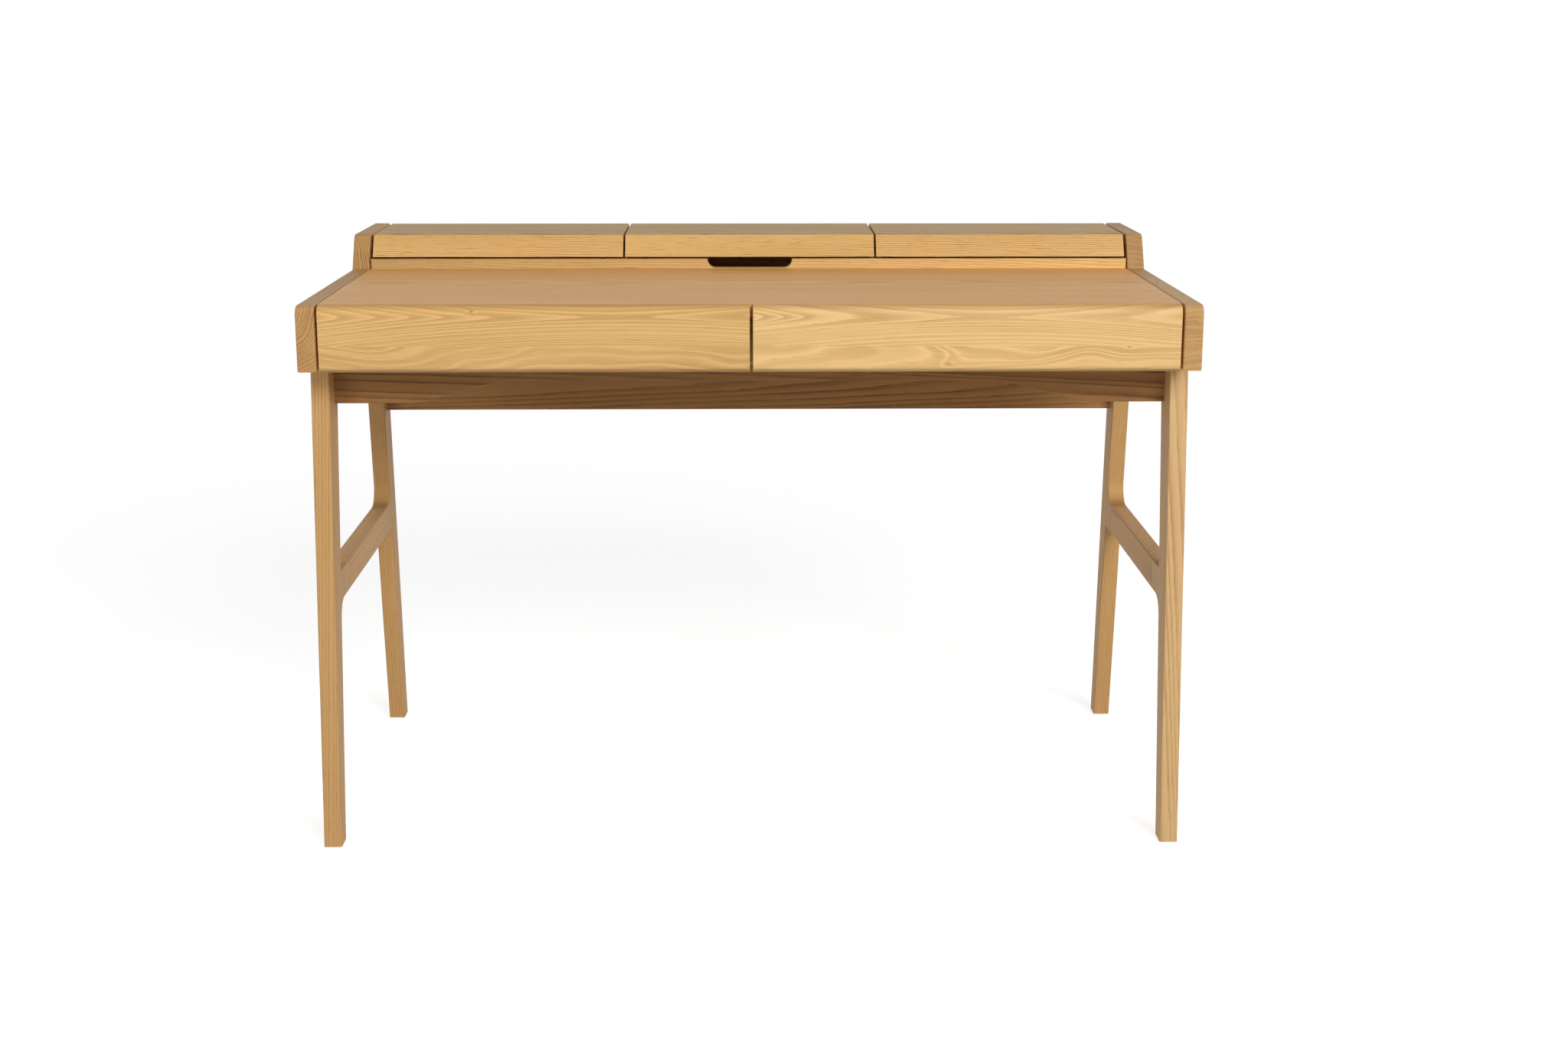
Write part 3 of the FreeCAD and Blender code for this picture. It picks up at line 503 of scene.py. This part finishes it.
legLean = 0.119
legs = {
    "grain": "z", "light": (214, 168, 108), "line": (178, 130, 74), "pore": (150, 104, 56),
    "ring": 0.0040, "taper": 0.006, "wander": 0.003, "depth": 0.7, "pores": 0.45,
}
dressBoards(legs, {
    "ashLegLeftFront": {
        "on": ["left_front_leg"], "pith": (-0.50, -0.18, 0.35), "lean": legLean, "seed": 67.0,
        "ring": 0.0033},
    "ashLegRightFront": {
        "on": ["right_front_leg"], "pith": (0.53, -0.15, 0.35), "lean": legLean, "seed": 71.0,
        "light": (224, 184, 128)},
    "ashLegLeftRear": {
        "on": ["left_rear_leg"], "pith": (-0.47, 0.27, 0.35), "lean": -legLean, "seed": 73.0,
        "ring": 0.0030, "depth": 0.9,
        "knots": [((-0.588, 0.198, 0.600), 0.0022, 0.7), ((-0.590, 0.276, 0.028), 0.0018, 0.6)]},
    "ashLegRightRear": {
        "on": ["right_rear_leg"], "pith": (0.70, 0.28, 0.35), "lean": -legLean, "seed": 79.0,
        "ring": 0.0030, "depth": 0.8},
    "ashStretchers": {
        "on": ["left_stretcher", "right_stretcher"], "grain": "y", "pith": (-0.50, 0.0, 0.30),
        "seed": 83.0, "knots": [((-0.575, -0.128, 0.352), 0.0025, 0.5)]},
})

# the aprons' tones are darker than the legs: in part painted shade from the carcass above
aprons = {
    "grain": "x", "pore": (98, 62, 32),
    "ring": 0.0065, "taper": 0.03, "wander": 0.008, "depth": 0.9, "pores": 0.5,
}
dressBoards(aprons, {
    "ashApronFront": {
        "on": ["front_apron"], "pith": (0.0, -0.13, 0.58), "seed": 89.0, "light": (174, 126, 72),
        "line": (112, 71, 36), "knots": [((0.148, -0.206, 0.657), 0.003, 0.7)]},
    "ashApronRear": {
        "on": ["rear_apron"], "pith": (0.0, 0.26, 0.58), "seed": 97.0, "light": (182, 134, 79),
        "line": (128, 84, 44)},
})
print("ash boards dressed")

# drawer boxes of birch plywood, layered through each board's thickness
birch = {
    "layer": 0.0015, "stem": (0.0, 0.3, -0.5), "ring": 0.012, "taper": 0.03, "wander": 0.02,
    "depth": 0.35, "pores": 0.1, "seed": 3.0, "light": (255, 255, 255), "line": (236, 222, 200),
    "pore": (220, 196, 160), "dulling": 0.12, "relief": (0.3, 0.0002),
}
boxBoards = {"left_side": "X", "right_side": "X", "inner_front": "Y", "back": "Y", "bottom": "Z"}


def plyMaterial(name, axis, start):
    material, tree, shader, place = newMaterial(name)
    spot = splitAxes(tree, place["Object"])["XYZ".index(axis)]
    layers = fillGroup(tree, plyLayers, {
        "Depth": calc(tree, "SUBTRACT", spot, start), "Layer": birch["layer"]})
    stem = addNode(tree, "ShaderNodeMapping", {"Vector": place["Object"], "Location": birch["stem"]})
    figure = fillGroup(tree, ashFigure, {
        "Vector": stem.outputs[0], "Ring Width": birch["ring"], "Taper": birch["taper"],
        "Wander": birch["wander"], "Line Depth": birch["depth"], "Pore Depth": birch["pores"],
        "Seed": birch["seed"], "Light": srgb(*birch["light"]), "Line": srgb(*birch["line"]),
        "Pore": srgb(*birch["pore"])}).outputs
    colour = tinted(tree, layers.outputs[0], figure["Color"])
    rough = calc(tree, "ADD", figure["Roughness"], birch["dulling"])
    setSurface(tree, shader, colour, rough, figure["Height"], birch["relief"])
    return material


for side in ("left", "right"):
    for board, axis in boxBoards.items():
        name = f"{side}_drawer_{board}"
        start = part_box(name)[0]["XYZ".index(axis)]
        dress(plyMaterial("birch" + name.title().replace("_", ""), axis, start), name)

dowelLook = {"tones": ((196, 158, 116), (222, 190, 150)), "scale": 600.0, "detail": 4.0, "rough": 0.6}


def dowelMaterial():
    material, tree, shader, place = newMaterial("beechDowel")
    grain = noise(tree, place["Object"], dowelLook["detail"], scale=dowelLook["scale"])
    ramp = addNode(tree, "ShaderNodeValToRGB", {0: grain})
    for stop, tone in zip(ramp.color_ramp.elements, dowelLook["tones"]):
        stop.color = srgb(*tone)
    plug(tree, ramp.outputs[0], shader.inputs["Base Color"])
    shader.inputs["Roughness"].default_value = dowelLook["rough"]
    return material


dress(dowelMaterial(), "apron_dowels", "carcass_dowels", "leg_dowels", "stretcher_dowels")
print("drawer boxes and dowels dressed")

steels = {  # tone, and the paces of the rubbed lines
    "zincSlide": ((198, 200, 202), (900.0, 12.0, 900.0)),
    "nickelHinge": ((184, 182, 178), (14.0, 900.0, 900.0)),
    "zincScrew": ((188, 188, 186), (500.0, 500.0, 500.0)),
}


def steelMaterial(name):
    material, tree, shader, place = newMaterial(name)
    tone, rub = steels[name]
    coat = fillGroup(tree, plating, {"Vector": place["Object"], "Tone": srgb(*tone), "Rub": rub}).outputs
    setSurface(tree, shader, coat["Color"], coat["Roughness"], coat["Height"], platingLook["relief"])
    shader.inputs["Metallic"].default_value = 1.0
    return material


zincSlide, nickelHinge, zincScrew = [steelMaterial(name) for name in steels]
for side in ("left", "right"):
    dress(zincSlide, f"{side}_drawer_fixed_slides", f"{side}_drawer_moving_slides")
dress(nickelHinge, "hinge_leaves_back_panel", "hinge_pins",
      "left_lid_hinge_leaves", "middle_lid_hinge_leaves", "right_lid_hinge_leaves")

plasticLook = {"scale": 1400.0, "shade": (0.10, 0.95), "roughSwing": 0.15, "relief": (0.15, 0.0001)}


def plasticMaterial(name, tone, rough):
    material, tree, shader, place = newMaterial(name)
    grain = noise(tree, place["Object"], scale=plasticLook["scale"])
    colour = shaded(tree, srgb(*tone), scaled(tree, grain, *plasticLook["shade"]))
    dull = scaled(tree, grain, plasticLook["roughSwing"], rough)
    setSurface(tree, shader, colour, dull, grain, plasticLook["relief"])
    return material


dress(plasticMaterial("nylonGlide", (216, 210, 198), 0.45), "foot_glides")
dress(plasticMaterial("softBumper", (30, 26, 22), 0.8), "lid_bumpers")
print("metal and plastic dressed")

# one cross-head screw, set at each place by Geometry Nodes
screwSizes = {
    "headRadius": 0.00275, "shankRadius": 0.0015, "rootRadius": 0.0012, "pitch": 0.0011, "sides": 16,
    "crossReach": 0.0017, "crossHalf": 0.00042, "crossDepth": 0.0009, "crossTaper": 0.7,
}
screwKinds = {  # depth of the head, and whole length
    "hingeScrew": (0.0012, 0.012),
    "slideScrew": (0.0015, 0.007),
    "frontScrew": (0.0020, 0.026),
}
screwRows = {"slideWeb": 0.0015, "hingeStep": 0.024}
turnSeeds = {"lid": 0, "backPanel": 7, "drawerSlide": 11, "drawerFront": 17, "carcass": 23}


def buildScrew(name):
    headDepth, length = screwKinds[name]
    size = screwSizes
    mesh = bmesh.new()
    angles = [2 * math.pi * i / size["sides"] for i in range(size["sides"])]

    def ring(radius, depth):
        return [mesh.verts.new((radius * math.cos(a), radius * math.sin(a), depth)) for a in angles]

    def bridge(upper, lower):
        for corners in zip(upper, upper[1:] + upper[:1], lower[1:] + lower[:1], lower):
            mesh.faces.new(corners)

    reach, half, taper = size["crossReach"], size["crossHalf"], size["crossTaper"]
    cross = []
    for i in range(4):
        turn = Matrix.Rotation(math.pi / 2 * i, 2)
        cross += [turn @ Vector(corner) for corner in ((reach, -half), (reach, half), (half, half))]
    rim = ring(size["headRadius"], 0.0)
    mouth = [mesh.verts.new((p.x, p.y, 0.0)) for p in cross]
    bed = [mesh.verts.new((p.x * taper, p.y * taper, size["crossDepth"])) for p in cross]
    flat = rim + mouth
    for a, b, c in tessellate_polygon([[v.co for v in rim], [v.co for v in mouth]]):
        mesh.faces.new((flat[a], flat[b], flat[c]))
    bridge(mouth, bed)
    mesh.faces.new(bed)
    loops = [rim, ring(size["shankRadius"], headDepth)]
    depth, pitch = headDepth, size["pitch"]
    while depth + pitch < length - pitch:
        loops.append(ring(size["rootRadius"], depth + pitch / 2))
        depth += pitch
        loops.append(ring(size["shankRadius"], depth))
    for upper, lower in zip(loops, loops[1:]):
        bridge(upper, lower)
    tip = mesh.verts.new((0.0, 0.0, length))
    for a, b in zip(loops[-1], loops[-1][1:] + loops[-1][:1]):
        mesh.faces.new((a, b, tip))
    bmesh.ops.recalc_face_normals(mesh, faces=mesh.faces)
    made = bpy.data.meshes.new(name)
    mesh.to_mesh(made)
    mesh.free()
    return made


def buildScrewTree():
    tree = bpy.data.node_groups.new("setScrews", "GeometryNodeTree")
    for label, kind in (("Places", "Geometry"), ("Screw", "Object"),
                        ("Finish", "Material"), ("Turn Seed", "Int")):
        tree.interface.new_socket(label, in_out="INPUT", socket_type="NodeSocket" + kind)
    tree.interface.new_socket("Screws", in_out="OUTPUT", socket_type="NodeSocketGeometry")
    given = tree.nodes.new("NodeGroupInput").outputs
    made = tree.nodes.new("NodeGroupOutput").inputs
    way = addNode(tree, "GeometryNodeInputNamedAttribute", {"Name": "way"}, data_type="FLOAT_VECTOR")
    aim = addNode(tree, "FunctionNodeAlignRotationToVector", {"Vector": way.outputs[0]}, axis="Z").outputs[0]
    # each cross is left at a chance angle
    chance = addNode(tree, "FunctionNodeRandomValue", {
        2: 0.0, 3: math.pi / 2, "Seed": given["Turn Seed"]}, data_type="FLOAT").outputs[1]
    spin = addNode(tree, "FunctionNodeEulerToRotation", {0: joinAxes(tree, 0.0, 0.0, chance)}).outputs[0]
    turned = addNode(tree, "FunctionNodeRotateRotation", {0: aim, 1: spin}, rotation_space="LOCAL")
    screw = addNode(tree, "GeometryNodeObjectInfo", {"Object": given["Screw"]}).outputs["Geometry"]
    points = addNode(tree, "GeometryNodeMeshToPoints", {"Mesh": given["Places"]}).outputs[0]
    placed = addNode(tree, "GeometryNodeInstanceOnPoints", {
        "Points": points, "Instance": screw, "Rotation": turned.outputs[0]}).outputs[0]
    solid = addNode(tree, "GeometryNodeRealizeInstances", {"Geometry": placed}).outputs[0]
    finish = addNode(tree, "GeometryNodeSetMaterial", {"Geometry": solid, "Material": given["Finish"]})
    plug(tree, finish.outputs[0], made[0])
    return tree


screwTree = buildScrewTree()


def setScrews(node, body, screwMesh, places, seed):
    template = bpy.data.objects.new("screwTemplate", screwMesh)
    mesh = bpy.data.meshes.new(node + "_places")
    mesh.from_pydata([spot for spot, _ in places], [], [])
    ways = mesh.attributes.new("way", "FLOAT_VECTOR", "POINT")
    for index, (_, way) in enumerate(places):
        ways.data[index].vector = way
    holder = bpy.data.objects.new(node + "_places", mesh)
    scene.collection.objects.link(holder)
    modifier = holder.modifiers.new("setScrews", "NODES")
    modifier.node_group = screwTree
    keys = {item.name: item.identifier for item in screwTree.interface.items_tree if item.in_out == "INPUT"}
    modifier[keys["Screw"]] = template
    modifier[keys["Finish"]] = zincScrew
    modifier[keys["Turn Seed"]] = seed
    graph = bpy.context.evaluated_depsgraph_get()
    solid = bpy.data.meshes.new_from_object(holder.evaluated_get(graph), depsgraph=graph)
    holder.modifiers.remove(modifier)
    bpy.data.objects.remove(holder)
    bpy.data.objects.remove(template)
    piece = bpy.data.objects.new(node + "_crosshead", solid)
    scene.collection.objects.link(piece)
    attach(piece, body)
    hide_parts(node)
    print(node, len(solid.polygons), "faces")


# where the heads of a node's outermost screws are, along each axis
def headSpots(node):
    low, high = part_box(node)
    inset = screwSizes["headRadius"]
    return [(a + inset, b - inset) for a, b in zip(low, high)]


hingeScrew, slideScrew, frontScrew = [buildScrew(name) for name in screwKinds]

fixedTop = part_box("hinge_screws_back_panel")[1][2]
fixedSpots = []
for index, lid in enumerate(("left", "middle", "right")):
    node = f"{lid}_lid_hinge_screws"
    (first, last), across, _ = headSpots(node)
    step = screwRows["hingeStep"]
    spots = [(x, sum(across) / 2) for x in (first, first + step, last - step, last)]
    fixedSpots += [((x, y, fixedTop), (0, 0, -1)) for x, y in spots]
    lidSpots = [((x, y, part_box(node)[0][2]), (0, 0, 1)) for x, y in spots]
    setScrews(node, f"{lid}_lid", hingeScrew, lidSpots, turnSeeds["lid"] + index)
setScrews("hinge_screws_back_panel", "frame", hingeScrew, fixedSpots, turnSeeds["backPanel"])

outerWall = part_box("right_side_panel")[0][0] - screwRows["slideWeb"]
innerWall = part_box("centre_divider")[1][0] + screwRows["slideWeb"]
carcassSpots = []
for index, (side, sign) in enumerate((("left", -1), ("right", 1))):
    node = f"{side}_drawer_slide_screws"
    low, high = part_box(node)
    _, along, heights = headSpots(node)
    z = sum(heights) / 2
    carcassSpots += [((sign * outerWall, y, z), (sign, 0, 0)) for y in along]
    carcassSpots += [((sign * innerWall, y, z), (-sign, 0, 0)) for y in along]
    slideSpots = [((x, y, z), (way, 0, 0)) for x, way in ((low[0], 1), (high[0], -1)) for y in along]
    setScrews(node, f"{side}_drawer", slideScrew, slideSpots, turnSeeds["drawerSlide"] + index)
    node = f"{side}_drawer_front_screws"
    across, _, heights = headSpots(node)
    frontSpots = [((x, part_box(node)[1][1], z), (0, -1, 0)) for x in across for z in heights]
    setScrews(node, f"{side}_drawer", frontScrew, frontSpots, turnSeeds["drawerFront"] + index)
setScrews("slide_screws_carcass", "frame", slideScrew, carcassSpots, turnSeeds["carcass"])

stage = {
    "floorReach": 30.0, "floorDrop": 0.0004, "floorTone": 0.74, "floorLift": 0.75, "fade": (1.0, 3.4),
    "ambient": 0.13,
}
white = (1, 1, 1, 1)


# 1 for a ray that is seen, straight, mirrored or through glass, and 0 for one that only carries light
def seenRay(tree):
    path = addNode(tree, "ShaderNodeLightPath").outputs
    mirrored = calc(tree, "MAXIMUM", path["Is Glossy Ray"], path["Is Transmission Ray"])
    return calc(tree, "MAXIMUM", path["Is Camera Ray"], mirrored)


def buildFloor():
    reach, drop = stage["floorReach"], -stage["floorDrop"]
    corners = [(-reach, -reach, drop), (reach, -reach, drop), (reach, reach, drop), (-reach, reach, drop)]
    mesh = bpy.data.meshes.new("paleFloor")
    mesh.from_pydata(corners, [], [(0, 1, 2, 3)])
    floor = bpy.data.objects.new("paleFloor", mesh)
    scene.collection.objects.link(floor)
    material = bpy.data.materials.new("paleFloor")
    material.use_nodes = True
    tree = material.node_tree
    tree.nodes.clear()
    place = addNode(tree, "ShaderNodeTexCoord").outputs
    diffuse = addNode(tree, "ShaderNodeBsdfDiffuse", {"Color": (*[stage["floorTone"]] * 3, 1.0)})
    seen = seenRay(tree)
    lift = addNode(tree, "ShaderNodeEmission", {
        "Strength": calc(tree, "MULTIPLY", seen, stage["floorLift"])})
    near = addNode(tree, "ShaderNodeAddShader", {0: diffuse.outputs[0], 1: lift.outputs[0]})
    far = addNode(tree, "ShaderNodeEmission", {"Color": white, "Strength": 1.0})
    away = remap(tree, vecCalc(tree, "LENGTH", place["Object"]), stage["fade"])
    both = addNode(tree, "ShaderNodeMixShader", {
        0: calc(tree, "MULTIPLY", away, seen), 1: near.outputs[0], 2: far.outputs[0]})
    addNode(tree, "ShaderNodeOutputMaterial", {0: both.outputs[0]})
    floor.data.materials.append(material)


def buildSky():
    world = bpy.data.worlds.new("whiteStudio")
    scene.world = world
    world.use_nodes = True
    tree = world.node_tree
    sky = tree.nodes["Background"]
    sky.inputs["Color"].default_value = white
    plug(tree, calc(tree, "MAXIMUM", seenRay(tree), stage["ambient"]), sky.inputs["Strength"])


buildFloor()
buildSky()

lamps = {
    "keyPanel": {"at": (2.6, -6.0, 3.7), "to": (0.0, 0.0, 0.6), "size": (3.6, 2.4), "watts": 300.0},
    "fillPanel": {"at": (-4.4, -5.0, 2.4), "to": (0.0, 0.0, 0.5), "size": (3.4, 2.6), "watts": 84.0},
    "rearPanel": {"at": (-5.0, 4.0, 1.8), "to": (0.0, 0.0, 0.5), "size": (3.0, 2.0), "watts": 16.0},
    "backPanel": {"at": (5.5, 4.6, 2.2), "to": (0.0, 0.0, 0.5), "size": (3.0, 2.0), "watts": 50.0},
}
for name, lamp in lamps.items():
    light = bpy.data.lights.new(name, "AREA")
    light.shape = "RECTANGLE"
    light.size, light.size_y = lamp["size"]
    light.energy = lamp["watts"]
    made = bpy.data.objects.new(name, light)
    made.location = lamp["at"]
    made.rotation_euler = (Vector(lamp["to"]) - Vector(lamp["at"])).to_track_quat("-Z", "Y").to_euler()
    scene.collection.objects.link(made)

view = {  # yaw, pitch and roll in degrees, lens and sensor in millimetres
    "at": (-0.0142, -3.1327, 1.1241), "yaw": 1.176, "pitch": 13.082, "roll": 0.074,
    "lens": 49.08, "sensor": 36.0, "reach": 200.0,
}
camera = bpy.data.cameras.new("photoView")
camera.lens = view["lens"]
camera.sensor_width = view["sensor"]
camera.clip_end = view["reach"]
eye = bpy.data.objects.new("photoView", camera)
eye.matrix_world = (Matrix.Translation(view["at"]) @ Matrix.Rotation(math.radians(-view["yaw"]), 4, "Z")
                    @ Matrix.Rotation(math.radians(90 - view["pitch"]), 4, "X")
                    @ Matrix.Rotation(math.radians(view["roll"]), 4, "Z"))
scene.collection.objects.link(eye)
scene.camera = eye
print("stage, lamps and camera set")
